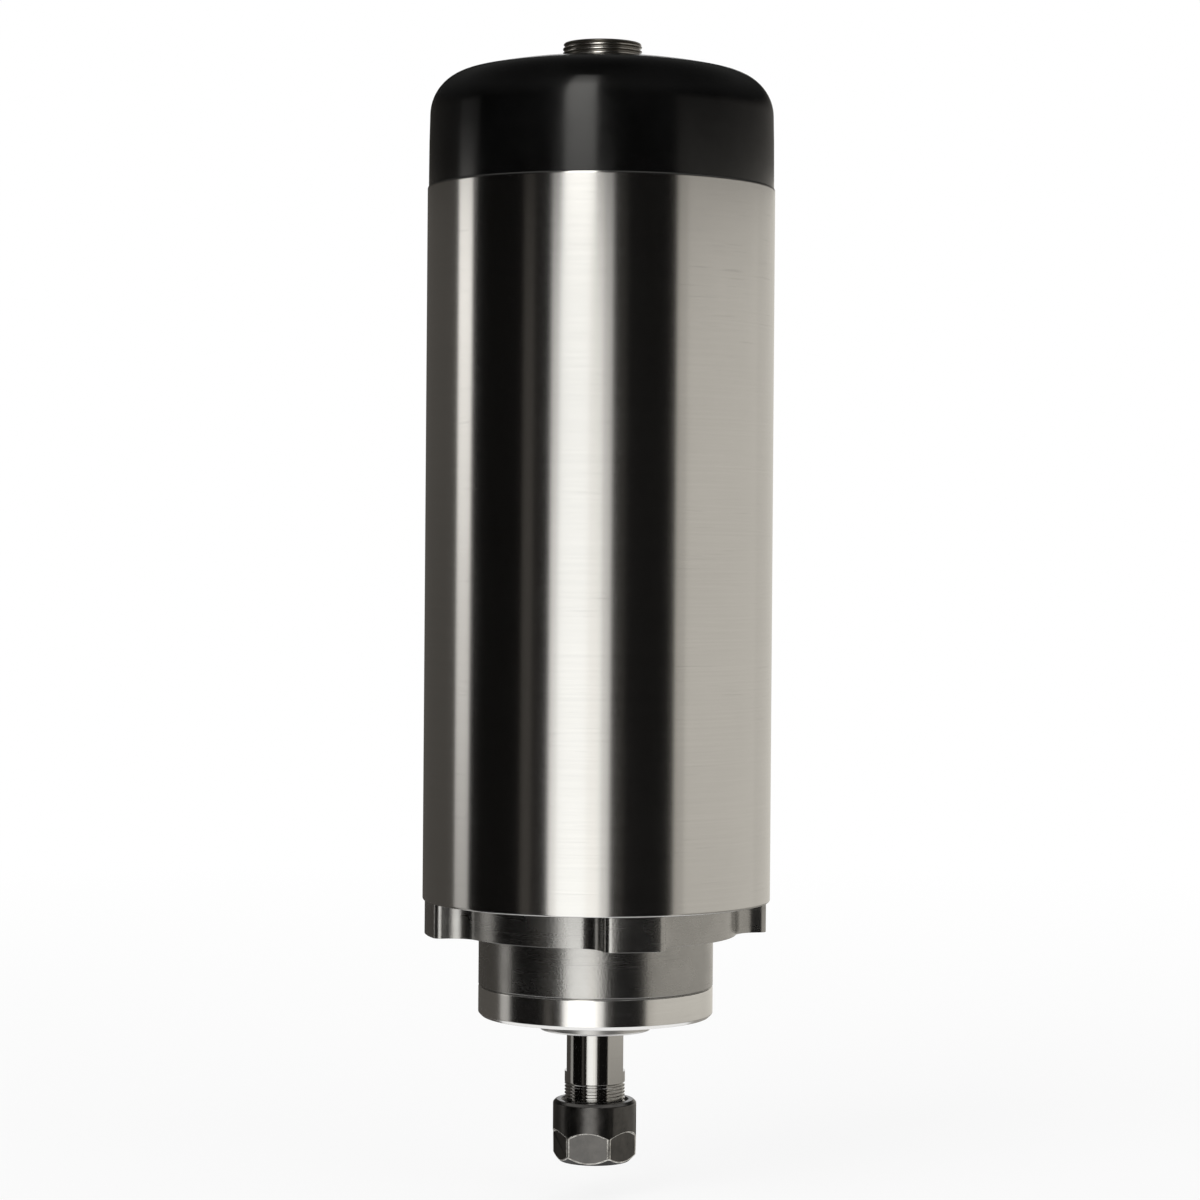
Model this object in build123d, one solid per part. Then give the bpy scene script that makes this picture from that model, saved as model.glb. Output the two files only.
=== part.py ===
from build123d import *
import math
import os

# Round body that a machine clamps
body_radius = 40.0
sleeve_wall = 1.5
sleeve_length = 163.5
sleeve_chamfer = 0.3

# Lobed flange: four lobes at the corners, an air pocket on each side
flange_thickness = 7.7
flange_step = 0.5
pocket_depth = 7.7
lobe_width = 14.0
lobe_corner = 2.0
pocket_fillet = 6.0
first_lobe_angle = 45.0
lobe_count = 4

# Bearing nose and the ring that closes it
nose_radius = 27.0
nose_length = 11.95
seam_chamfer = 0.25
front_cap_thickness = 7.0
front_cap_spigot = 2.0
front_cap_chamfer = 0.8
front_lip = 5.65
lip_width = 3.0
spigot_height = 3.0
spigot_wall = 3.0

# Ball bearings: 17 x 35 x 10 mm in front, 15 x 32 x 9 mm at the rear
front_bearing_bore = 8.5
front_bearing_outer = 17.5
front_bearing_width = 10.0
front_ball_radius = 2.5
front_ball_count = 9
rear_bearing_bore = 7.5
rear_bearing_outer = 16.0
rear_bearing_width = 9.0
rear_ball_radius = 2.25
rear_ball_count = 9
groove_gap = 0.06
ring_gap_share = 0.64
cage_share = 0.4
cage_rim = 0.8
cage_pocket_gap = 0.12

# Shaft, from its face upwards
shaft_thread_core = 6.54
shaft_thread_length = 11.3
shaft_nose_radius = 6.95
shaft_nose_chamfer = 0.5
plain_length = 3.6
flats_length = 8.9
flats_across = 13.0
flats_angle = 31.9
flats_corner = 1.5
flats_below_slinger = 0.65
shoulder_step = 0.5
rear_step = 1.0
fan_seat_radius = 5.5
fan_thread_radius = 4.0
collet_bore_depth = 25.0
collet_bore_radius = 3.75

# Slinger nut under the front bearing cap
slinger_radius = 13.0
slinger_thickness = 2.9
slinger_gap = 0.3
slinger_seat_radius = 7.5
slinger_hub_wall = 3.4
spanner_hole_radius = 1.25
spanner_hole_depth = 2.0

# Spring collet of 11.5 mm head, and its nut
collet_head_radius = 5.75
collet_length = 18.0
collet_cone_length = 2.5
collet_groove_length = 2.0
collet_groove_depth = 1.0
collet_grip_radius = 3.175
collet_slit = 0.4
collet_slit_count = 4
collet_web = 3.5
taper_half_angle = 8.0
front_cone_angle = 30.0
nut_radius = 9.6
nut_height = 14.15
nut_across_flats = 16.9
nut_top_chamfer = 0.7
nut_bottom_chamfer = 2.2
nut_cutter_radius = 8.4
nut_collar_height = 6.75
nut_first_flat = -7.7
nut_face_recess = 0.25
nut_thread_radius = 7.05
nut_overlap = 8.3

# Core housing, stator and rotor
core_gap = 0.3
core_wall = 2.0
fin_gap = 0.3
fin_thickness = 2.0
fin_count = 24
rib_width = 12.0
winding_room = 22.0
winding_head_length = 16.0
winding_head_round = 3.0
winding_head_margin = 2.0
rotor_share = 0.54
rotor_wall = 6.2
air_gap = 0.3
slot_count = 24
slot_mouth = 1.2
slot_lip = 1.0
tooth_share = 0.5675
stator_yoke = 4.5
rotor_bar_radius = 1.6
rotor_bar_depth = 2.5
rotor_bar_count = 16
end_ring_height = 5.0
end_ring_wall = 4.5

# Rear housing and its cover
rear_plate_thickness = 6.0
rear_floor = 6.5
rear_boss_wall = 4.0
rear_bearing_float = 0.5
spring_height = 2.5
spring_thickness = 0.5
rear_cover_thickness = 2.5

# Fan
fan_gap = 1.5
fan_height = 13.0
fan_hub_wall = 3.5
fan_tip_gap = 1.7
fan_blade_count = 7
fan_blade_thickness = 1.2
fan_root_chord = 13.0
fan_tip_chord = 17.0
fan_root_pitch = 52.0
fan_tip_pitch = 30.0
fan_key_width = 3.0
fan_key_height = 3.0
fan_key_margin = 2.0
fan_washer_radius = 8.0
fan_washer_thickness = 0.8
fan_nut_across = 13.0
fan_nut_height = 5.0
shaft_stick_out = 0.5

# Domed fan cover
cover_height = 30.0
cover_step = 0.25
cover_draft = 0.2
cover_crown_radius = 140.0
cover_corner_radius = 10.0
cover_spigot_depth = 4.0
cover_spigot_wall = 1.5
cover_boss_radius = 12.6
cover_boss_depth = 7.5
vent_count = 14
vent_width = 2.6
vent_length = 6.0

# Power connector in the crown
stub_radius = 9.1
stub_height = 3.5
stub_wall = 1.5
stub_chamfer = 0.4
shank_step = 0.2
relief_length = 6.5
insert_recess = 5.0
insert_setback = 1.0
connector_washer_radius = 12.0
connector_washer_thickness = 0.8
locknut_across = 23.0
locknut_height = 3.0
locknut_stick_out = 1.0
pin_radius = 1.0
pin_circle = 4.2
pin_height = 4.0
pin_count = 4

# Lead from the connector to the windings
lead_radius = 1.8
lead_rise = 7.7
lead_slant = 9.0
boot_radius = 6.5
boot_wall = 1.0
boot_reach = 11.0
boot_socket_depth = 4.0
boot_gap = 0.8
grommet_wall = 0.6
grommet_rim = 0.5
grommet_lip = 1.2

# Screws
tie_inset = 5.5
tie_screw_radius = 2.0
tie_head_radius = 3.5
tie_head_height = 4.0
tie_counterbore_depth = 4.5
cap_screw_radius = 1.5
cap_screw_head_radius = 2.75
cap_screw_head_height = 3.0
cap_screw_sink = 3.3
cap_screw_depth = 8.0
cap_screw_count = 4
cover_screw_radius = 1.25
cover_screw_head_radius = 2.25
cover_screw_head_height = 1.5
cover_screw_depth = 5.0
cover_screw_count = 3

# Clearances
seat_gap = 0.02
slide_gap = 0.05
turning_gap = 0.4
shank_gap = 0.2
head_gap = 0.3
shaft_top_gap = 1.2
taper_gap = 0.05

# Radii worked out from the body inwards
sleeve_bore = body_radius - sleeve_wall
lobe_radius = body_radius - flange_step
pocket_floor = body_radius - pocket_depth
core_radius = pocket_floor - core_gap
stator_radius = core_radius - core_wall
rotor_radius = rotor_share * stator_radius
rotor_seat_radius = rotor_radius - rotor_wall
shaft_shoulder = rotor_seat_radius + shoulder_step
rear_shoulder = rotor_seat_radius - rear_step
stator_bore = rotor_radius + air_gap
slot_inner = stator_bore + slot_lip
tooth_width = tooth_share * 2 * math.pi * slot_inner / slot_count
slot_outer = stator_radius - stator_yoke
tie_circle = body_radius - tie_inset
rear_boss_radius = rear_bearing_outer + rear_boss_wall
grommet_circle = (rear_boss_radius + stator_radius) / 2
cover_inner = sleeve_bore - slide_gap - cover_spigot_wall
lead_circle = cover_inner - head_gap - lead_radius
fan_radius = lead_circle - lead_radius - fan_tip_gap
fan_hub_radius = fan_seat_radius + fan_hub_wall
slinger_hub_radius = slinger_seat_radius + slinger_hub_wall
cap_screw_circle = (nose_radius + front_bearing_outer) / 2
cover_screw_circle = (rear_boss_radius + rear_bearing_outer) / 2
stub_bore = stub_radius - stub_wall

# Heights below the sleeve, worked out downwards from its end
z_flange_low = -flange_thickness
z_nose_low = z_flange_low - nose_length
z_front_cap_low = z_nose_low - front_cap_thickness
z_slinger_high = z_front_cap_low - slinger_gap
z_slinger_low = z_slinger_high - slinger_thickness
z_flats_high = z_slinger_low - flats_below_slinger
z_flats_low = z_flats_high - flats_length
z_thread_high = z_flats_low - plain_length
z_shaft_face = z_thread_high - shaft_thread_length
z_nut_high = z_shaft_face + nut_overlap
z_nut_low = z_nut_high - nut_height
z_collet_low = z_nut_low + nut_face_recess
z_collet_high = z_collet_low + collet_length
z_collet_head = z_collet_low + collet_cone_length
z_collet_taper = z_collet_head + collet_groove_length

# Heights of the front bearings and of the core's lower end
z_bearings_low = z_nose_low + front_cap_spigot
z_bearings_mid = z_bearings_low + front_bearing_width
z_bearings_high = z_bearings_mid + front_bearing_width
z_core_low = z_bearings_high + front_lip
z_stator_low = z_core_low + winding_room

# Heights worked out downwards from the crown of the fan cover
z_crown = sleeve_length + cover_height
z_stub_high = z_crown + stub_height
z_boss_low = z_crown - cover_boss_depth
z_washer_low = z_boss_low - connector_washer_thickness
z_locknut_low = z_washer_low - locknut_height
z_shell_low = z_locknut_low - locknut_stick_out
z_insert_low = z_shell_low + insert_setback
z_insert_high = z_stub_high - insert_recess
z_lead = z_shell_low - boot_gap - lead_radius - boot_wall
z_boot_low = z_lead - lead_radius - 2 * boot_wall
z_shaft_high = z_boot_low - shaft_top_gap
z_fan_nut_high = z_shaft_high - shaft_stick_out
z_fan_nut_low = z_fan_nut_high - fan_nut_height
z_fan_high = z_fan_nut_low - fan_washer_thickness
z_fan_low = z_fan_high - fan_height
z_rear_cover_high = z_fan_low - fan_gap
z_rear_boss_high = z_rear_cover_high - rear_cover_thickness
z_rear_bearing_high = z_rear_boss_high - spring_height
z_rear_bearing_low = z_rear_bearing_high - rear_bearing_width
z_rear_bore_low = z_rear_bearing_low - rear_bearing_float
z_core_high = z_rear_bore_low - rear_floor
z_rear_plate_high = z_core_high + rear_plate_thickness
z_stator_high = z_core_high - winding_room


def save(name, shape):
    """Write one sub-part as a node of its own."""
    export_step(shape, f"parts/{name}.step")


def ring(outer, inner, low, high):
    """A plain ring between two heights, or a disc where the inner radius is nought."""
    face = Circle(outer)
    if inner > 0:
        face -= Circle(inner)
    return extrude(Pos(0, 0, low) * face, high - low)


def turned(*outline):
    """A lathe piece from its half section, given as points of radius and height."""
    return revolve(Plane.XZ * make_face(Polyline(*outline, close=True)), Axis.Z)


def around(shape, count, first=0.0):
    """Copies of one shape, evenly spaced about the spindle's axis."""
    return [Rot(0, 0, first + 360 * number / count) * shape for number in range(count)]


def from_axis(corner):
    """A corner's distance from the spindle's axis."""
    return math.hypot(corner.X, corner.Y)


def lobed_section(outer, floor, width):
    """A disc with a lobe at each corner and an air pocket between each pair of lobes."""
    arms = [Rot(0, 0, first_lobe_angle + 90 * number) * Rectangle(3 * outer, width) for number in (0, 1)]
    outline = Circle(outer) & (Circle(floor) + arms)
    depth = outer - floor
    middle = (outer + floor) / 2
    inner_corners = outline.vertices().filter_by(lambda corner: from_axis(corner) < middle)
    outline = fillet(inner_corners, min(pocket_fillet, 0.82 * depth))
    outer_corners = outline.vertices().filter_by(lambda corner: from_axis(corner) > outer - seat_gap)
    return fillet(outer_corners, min(lobe_corner, 0.25 * depth))


def socket_screw(shank, head, head_height, low, high):
    """A socket head screw that points up, with its head at the bottom."""
    screw = ring(head, 0, low, low + head_height)
    screw += ring(shank, 0, low + head_height, high)
    socket = extrude(Pos(0, 0, low) * RegularPolygon(0.55 * head, 6), head_height / 2)
    return screw - socket


def outer_sleeve():
    """Drawn tube, faced at both ends with a small chamfer."""
    return turned(
        (sleeve_bore, 0),
        (body_radius - sleeve_chamfer, 0),
        (body_radius, sleeve_chamfer),
        (body_radius, sleeve_length - sleeve_chamfer),
        (body_radius - sleeve_chamfer, sleeve_length),
        (sleeve_bore, sleeve_length),
    )


def front_housing():
    """Lobed flange, bearing nose and the register that centres the sleeve and the core."""
    flange_section = lobed_section(lobe_radius, pocket_floor, lobe_width)
    flange = extrude(Pos(0, 0, z_flange_low) * flange_section, flange_thickness)
    register_section = lobed_section(sleeve_bore - slide_gap, pocket_floor, lobe_width)
    register = extrude(register_section, z_core_low)
    nose = turned(
        (0, z_flange_low),
        (nose_radius, z_flange_low),
        (nose_radius, z_nose_low + seam_chamfer),
        (nose_radius - seam_chamfer, z_nose_low),
        (0, z_nose_low),
    )
    spigot_radius = stator_radius - slide_gap
    spigot = ring(spigot_radius, spigot_radius - spigot_wall, z_core_low, z_core_low + spigot_height)
    housing = flange + register + nose + spigot
    housing -= ring(front_bearing_outer + seat_gap, 0, z_nose_low, z_bearings_high)
    housing -= ring(front_bearing_outer - lip_width, 0, z_bearings_high, z_core_low)
    tie_hole = ring(tie_screw_radius + shank_gap, 0, z_flange_low, z_core_low)
    counterbore = ring(tie_head_radius + head_gap, 0, z_flange_low, z_flange_low + tie_counterbore_depth)
    housing -= around(Pos(tie_circle, 0, 0) * (tie_hole + counterbore), lobe_count, first_lobe_angle)
    tapped_hole = ring(cap_screw_radius + seat_gap, 0, z_nose_low, z_nose_low + cap_screw_depth)
    housing -= around(Pos(cap_screw_circle, 0, 0) * tapped_hole, cap_screw_count)
    return housing


def front_bearing_cap():
    """Ring that clamps the front bearings, with a short spigot in their bore."""
    bore = slinger_hub_radius + turning_gap
    spigot_radius = front_bearing_outer - slide_gap
    cap = turned(
        (bore, z_front_cap_low),
        (nose_radius - front_cap_chamfer, z_front_cap_low),
        (nose_radius, z_front_cap_low + front_cap_chamfer),
        (nose_radius, z_nose_low - seam_chamfer),
        (nose_radius - seam_chamfer, z_nose_low),
        (spigot_radius, z_nose_low),
        (spigot_radius, z_bearings_low),
        (front_bearing_outer - lip_width, z_bearings_low),
        (front_bearing_outer - lip_width, z_nose_low),
        (bore, z_nose_low),
    )
    screw_hole = ring(cap_screw_radius + shank_gap, 0, z_front_cap_low, z_nose_low)
    counterbore_high = z_front_cap_low + cap_screw_sink
    counterbore = ring(cap_screw_head_radius + head_gap, 0, z_front_cap_low, counterbore_high)
    return cap - around(Pos(cap_screw_circle, 0, 0) * (screw_hole + counterbore), cap_screw_count)


def bearing_cap_screws():
    """Socket screws that hold the front bearing cap."""
    head_low = z_front_cap_low + cap_screw_sink - cap_screw_head_height
    tip = z_nose_low + cap_screw_depth - head_gap
    screw = socket_screw(cap_screw_radius, cap_screw_head_radius, cap_screw_head_height, head_low, tip)
    return Compound(children=around(Pos(cap_screw_circle, 0, 0) * screw, cap_screw_count))


def bearing(name, bore, outer, width, ball, count, low):
    """A ball bearing as its outer ring, inner ring, cage and set of balls."""
    high = low + width
    pitch = (bore + outer) / 2
    place = Pos(pitch, 0, low + width / 2)
    groove = Pos(0, 0, low + width / 2) * Torus(pitch, ball + groove_gap)
    save(f"{name}_outer_ring", ring(outer, pitch + ring_gap_share * ball, low, high) - groove)
    save(f"{name}_inner_ring", ring(pitch - ring_gap_share * ball, bore + seat_gap, low, high) - groove)
    balls = around(place * Sphere(ball), count)
    save(f"{name}_balls", Compound(children=balls))
    cage_half = ball + cage_rim
    cage_low = low + width / 2 - cage_half
    cage = ring(pitch + cage_share * ball, pitch - cage_share * ball, cage_low, cage_low + 2 * cage_half)
    pocket = place * Rot(0, 90, 0) * Cylinder(ball + cage_pocket_gap, 2 * ball)
    save(f"{name}_cage", cage - around(pocket, count))


def shaft():
    """Shaft turned in one piece, with the collet taper, wrench flats and fan keyway."""
    slope = math.tan(math.radians(taper_half_angle))
    mouth = collet_head_radius - slope * (z_shaft_face - z_collet_taper) + taper_gap
    z_taper_high = z_collet_high + shaft_nose_chamfer
    taper_end = mouth - slope * (z_taper_high - z_shaft_face)
    body = turned(
        (mouth, z_shaft_face),
        (shaft_thread_core - shaft_nose_chamfer, z_shaft_face),
        (shaft_thread_core, z_shaft_face + shaft_nose_chamfer),
        (shaft_thread_core, z_thread_high),
        (shaft_nose_radius, z_thread_high),
        (shaft_nose_radius, z_slinger_low),
        (slinger_seat_radius, z_slinger_low),
        (slinger_seat_radius, z_bearings_low),
        (front_bearing_bore, z_bearings_low),
        (front_bearing_bore, z_bearings_high),
        (shaft_shoulder, z_bearings_high),
        (shaft_shoulder, z_stator_low),
        (rotor_seat_radius, z_stator_low),
        (rotor_seat_radius, z_stator_high),
        (rear_shoulder, z_stator_high),
        (rear_shoulder, z_rear_bearing_low),
        (rear_bearing_bore, z_rear_bearing_low),
        (rear_bearing_bore, z_fan_low),
        (fan_seat_radius, z_fan_low),
        (fan_seat_radius, z_fan_high),
        (fan_thread_radius, z_fan_high),
        (fan_thread_radius, z_shaft_high),
        (0, z_shaft_high),
        (0, z_taper_high + collet_bore_depth),
        (collet_bore_radius, z_taper_high + collet_bore_depth),
        (collet_bore_radius, z_taper_high),
        (taper_end, z_taper_high),
    )
    cutter_depth = shaft_nose_radius
    cutter = Pos(flats_across / 2 + cutter_depth / 2, (z_flats_low + z_flats_high) / 2)
    cutter *= Rectangle(cutter_depth, flats_length)
    cutter = fillet(cutter.vertices().sort_by(Axis.X)[:2], min(flats_corner, 0.45 * flats_length))
    flat = extrude(Plane.XZ * cutter, shaft_nose_radius, both=True)
    return body - around(flat, 2, flats_angle) - key_block(seat_gap)


def key_block(gap):
    """The fan key, or with a gap the keyway that holds it."""
    length = fan_height - 2 * fan_key_margin
    block = Box(fan_key_height + 2 * gap, fan_key_width + 2 * gap, length + 2 * gap)
    return Pos(fan_seat_radius, 0, (z_fan_low + z_fan_high) / 2) * block


def slinger_nut():
    """Disc with a hub that clamps the inner rings and throws off coolant."""
    nut = ring(slinger_radius, slinger_seat_radius + seat_gap, z_slinger_low, z_slinger_high)
    nut += ring(slinger_hub_radius, slinger_seat_radius + seat_gap, z_slinger_high, z_bearings_low)
    hole = ring(spanner_hole_radius, 0, z_slinger_low, z_slinger_low + spanner_hole_depth)
    return nut - around(Pos((slinger_seat_radius + slinger_radius) / 2, 0, 0) * hole, 2)


def collet():
    """Spring collet with a front cone, a snap groove, a long taper and slits from both ends."""
    front = collet_head_radius - collet_cone_length * math.tan(math.radians(front_cone_angle))
    groove = collet_head_radius - collet_groove_depth
    tail_slope = math.tan(math.radians(taper_half_angle))
    tail = collet_head_radius - tail_slope * (z_collet_high - z_collet_taper)
    body = turned(
        (collet_grip_radius, z_collet_low),
        (front, z_collet_low),
        (collet_head_radius, z_collet_head),
        (groove, z_collet_head),
        (groove, z_collet_taper),
        (collet_head_radius, z_collet_taper),
        (tail, z_collet_high),
        (collet_grip_radius, z_collet_high),
    )
    slit_length = collet_length - collet_web
    slit = Box(2 * collet_head_radius, collet_slit, slit_length, align=(Align.MIN, Align.CENTER, Align.MIN))
    half_step = 180 / collet_slit_count
    body -= around(Pos(0, 0, z_collet_low) * slit, collet_slit_count)
    body -= around(Pos(0, 0, z_collet_high - slit_length) * slit, collet_slit_count, half_step)
    return body


def collet_nut():
    """Nut with six milled flats, a cone that presses the collet and a lip in its groove."""
    slope = math.tan(math.radians(front_cone_angle))
    cone_high = collet_head_radius + slide_gap
    cone_low = cone_high - slope * (z_collet_head - z_nut_low)
    lip = collet_head_radius - collet_groove_depth / 2
    lip_low = z_collet_head + slide_gap
    lip_high = z_collet_taper - slide_gap
    nut = turned(
        (cone_low, z_nut_low),
        (nut_radius - nut_bottom_chamfer, z_nut_low),
        (nut_radius, z_nut_low + nut_bottom_chamfer),
        (nut_radius, z_nut_high - nut_top_chamfer),
        (nut_radius - nut_top_chamfer, z_nut_high),
        (nut_thread_radius, z_nut_high),
        (nut_thread_radius, lip_high),
        (lip, lip_high),
        (lip, lip_low),
        (cone_high, lip_low),
        (cone_high, z_collet_head),
    )
    half_across = nut_across_flats / 2
    arch_centre = z_nut_high - nut_collar_height - nut_cutter_radius
    cutter = Pos(half_across + nut_radius / 2, 0, arch_centre)
    cutter *= Rot(0, 90, 0) * Cylinder(nut_cutter_radius, nut_radius)
    return nut - around(cutter, 6, nut_first_flat)


def core_housing():
    """Finned tube round the stator; the air runs down between its fins and the sleeve."""
    fin_radius = sleeve_bore - fin_gap
    fin_length = fin_radius - stator_radius - core_wall / 2
    fin = Pos(fin_radius - fin_length / 2, 0) * Rectangle(fin_length, fin_thickness)
    rib = Pos(fin_radius - fin_length / 2, 0) * Rectangle(fin_length, rib_width)
    tie_hole = Pos(tie_circle, 0) * Circle(tie_screw_radius + shank_gap)
    section = Circle(core_radius) + around(fin, fin_count, 180 / fin_count)
    section += around(rib, lobe_count, first_lobe_angle)
    section &= Circle(fin_radius)
    section -= Circle(stator_radius + seat_gap)
    section -= around(tie_hole, lobe_count, first_lobe_angle)
    return extrude(Pos(0, 0, z_core_low) * section, z_core_high - z_core_low)


def slot_outline(gap):
    """One stator slot as a plane shape, drawn smaller by the gap for its coil."""
    inner = slot_inner + gap
    outer = slot_outer - gap
    half_inner = (2 * math.pi * inner / slot_count - tooth_width) / 2 - gap
    half_outer = (2 * math.pi * outer / slot_count - tooth_width) / 2 - gap
    corners = [(inner, -half_inner), (outer, -half_outer), (outer, half_outer), (inner, half_inner)]
    return make_face(Polyline(*corners, close=True))


def stator_core():
    """Stack of laminations with open slots towards the rotor."""
    mouth = Pos(slot_inner - slot_lip, 0) * Rectangle(4 * slot_lip, slot_mouth)
    slot = slot_outline(0) + mouth
    section = Circle(stator_radius) - Circle(stator_bore) - around(slot, slot_count)
    return extrude(Pos(0, 0, z_stator_low) * section, z_stator_high - z_stator_low)


def slot_coils():
    """Copper sides of the coils, one bundle in each slot."""
    length = z_stator_high - z_stator_low
    bundle = extrude(Pos(0, 0, z_stator_low) * slot_outline(slide_gap), length)
    return Compound(children=around(bundle, slot_count))


def winding_head(low):
    """Bound and varnished end of the windings, a ring with round shoulders."""
    inner = slot_inner + winding_head_margin / 4
    outer = slot_outer + winding_head_margin
    width = outer - inner
    shoulder = min(winding_head_round, 0.4 * width)
    section = Pos((inner + outer) / 2, low + winding_head_length / 2)
    section *= RectangleRounded(width, winding_head_length, shoulder)
    return revolve(Plane.XZ * section, Axis.Z)


def rotor_core():
    """Stack of rotor laminations with a round hole for each bar."""
    hole = Pos(rotor_radius - rotor_bar_depth, 0) * Circle(rotor_bar_radius + seat_gap)
    section = Circle(rotor_radius) - Circle(rotor_seat_radius + seat_gap) - around(hole, rotor_bar_count)
    return extrude(Pos(0, 0, z_stator_low) * section, z_stator_high - z_stator_low)


def rotor_cage():
    """Cast cage: a ring at each end of the rotor core and the bars between them."""
    outer = rotor_radius - air_gap
    cage = ring(outer, outer - end_ring_wall, z_stator_low - end_ring_height, z_stator_low)
    cage += ring(outer, outer - end_ring_wall, z_stator_high, z_stator_high + end_ring_height)
    bar = ring(rotor_bar_radius, 0, z_stator_low, z_stator_high)
    return cage + around(Pos(rotor_radius - rotor_bar_depth, 0, 0) * bar, rotor_bar_count)


def tie_rods():
    """Long socket screws from the flange to the rear housing, one through each rib."""
    head_low = z_flange_low + tie_counterbore_depth - tie_head_height
    rod = socket_screw(tie_screw_radius, tie_head_radius, tie_head_height, head_low, z_rear_plate_high)
    return Compound(children=around(Pos(tie_circle, 0, 0) * rod, lobe_count, first_lobe_angle))


def rear_housing():
    """Lobed plate with the boss of the rear bearing and the hole for the lead."""
    plate = lobed_section(sleeve_bore - slide_gap, pocket_floor, lobe_width)
    housing = extrude(Pos(0, 0, z_core_high) * plate, rear_plate_thickness)
    housing += ring(rear_boss_radius, 0, z_rear_plate_high, z_rear_boss_high)
    housing -= ring(rear_bearing_outer + seat_gap, 0, z_rear_bore_low, z_rear_boss_high)
    housing -= ring(rear_bearing_outer - lip_width, 0, z_core_high, z_rear_bore_low)
    tapped = ring(tie_screw_radius + seat_gap, 0, z_core_high, z_rear_plate_high)
    housing -= around(Pos(tie_circle, 0, 0) * tapped, lobe_count, first_lobe_angle)
    lead_hole = ring(lead_radius + grommet_wall + seat_gap, 0, z_core_high, z_rear_plate_high)
    housing -= Pos(grommet_circle, 0, 0) * lead_hole
    screw_low = z_rear_boss_high - cover_screw_depth
    screw_hole = ring(cover_screw_radius + seat_gap, 0, screw_low, z_rear_boss_high)
    return housing - around_rear_cover(screw_hole)


def around_rear_cover(shape):
    """Copies of one shape at the screws of the rear bearing cover."""
    return around(Pos(cover_screw_circle, 0, 0) * shape, cover_screw_count, 180 / cover_screw_count)


def preload_spring():
    """Disc spring between the rear bearing and its cover."""
    outer = rear_bearing_outer - slide_gap
    inner = outer - lip_width
    return turned(
        (outer, z_rear_bearing_high),
        (outer, z_rear_bearing_high + spring_thickness),
        (inner, z_rear_boss_high),
        (inner, z_rear_boss_high - spring_thickness),
    )


def rear_bearing_cover():
    """Flat ring that closes the rear bearing bore."""
    cover = ring(rear_boss_radius, rear_bearing_bore + turning_gap, z_rear_boss_high, z_rear_cover_high)
    hole = ring(cover_screw_radius + seat_gap, 0, z_rear_boss_high, z_rear_cover_high)
    return cover - around_rear_cover(hole)


def rear_cover_screws():
    """Small screws that hold the rear bearing cover, heads up."""
    tip = z_rear_boss_high - cover_screw_depth + head_gap
    screw = ring(cover_screw_radius, 0, tip, z_rear_cover_high)
    screw += ring(cover_screw_head_radius, 0, z_rear_cover_high, z_rear_cover_high + cover_screw_head_height)
    return Compound(children=around_rear_cover(screw))


def fan_blade():
    """One twisted blade, lofted from a steep root to a flatter tip."""
    middle = (z_fan_low + z_fan_high) / 2
    outward = Plane(origin=(0, 0, middle), x_dir=(0, 1, 0), z_dir=(1, 0, 0))
    root_plane = outward.offset(fan_seat_radius + fan_hub_wall / 2)
    tip_plane = outward.offset(fan_radius + fan_blade_thickness)
    root = root_plane * Rot(0, 0, fan_root_pitch) * Rectangle(fan_root_chord, fan_blade_thickness)
    tip = tip_plane * Rot(0, 0, fan_tip_pitch) * Rectangle(fan_tip_chord, fan_blade_thickness)
    return loft([root, tip]) & ring(fan_radius, fan_hub_radius - fan_blade_thickness, z_fan_low, z_fan_high)


def fan():
    """Axial fan that blows down into the fins."""
    hub = ring(fan_hub_radius, fan_seat_radius + seat_gap, z_fan_low, z_fan_high)
    return hub + around(fan_blade(), fan_blade_count) - key_block(seat_gap)


def fan_washer():
    """Washer under the fan nut."""
    return ring(fan_washer_radius, fan_thread_radius + shank_gap, z_fan_high, z_fan_nut_low)


def fan_nut():
    """Hexagon nut on the rear end of the shaft."""
    section = RegularPolygon(fan_nut_across / 2, 6, major_radius=False)
    section -= Circle(fan_thread_radius + seat_gap)
    return extrude(Pos(0, 0, z_fan_nut_low) * section, fan_nut_height)


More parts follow.
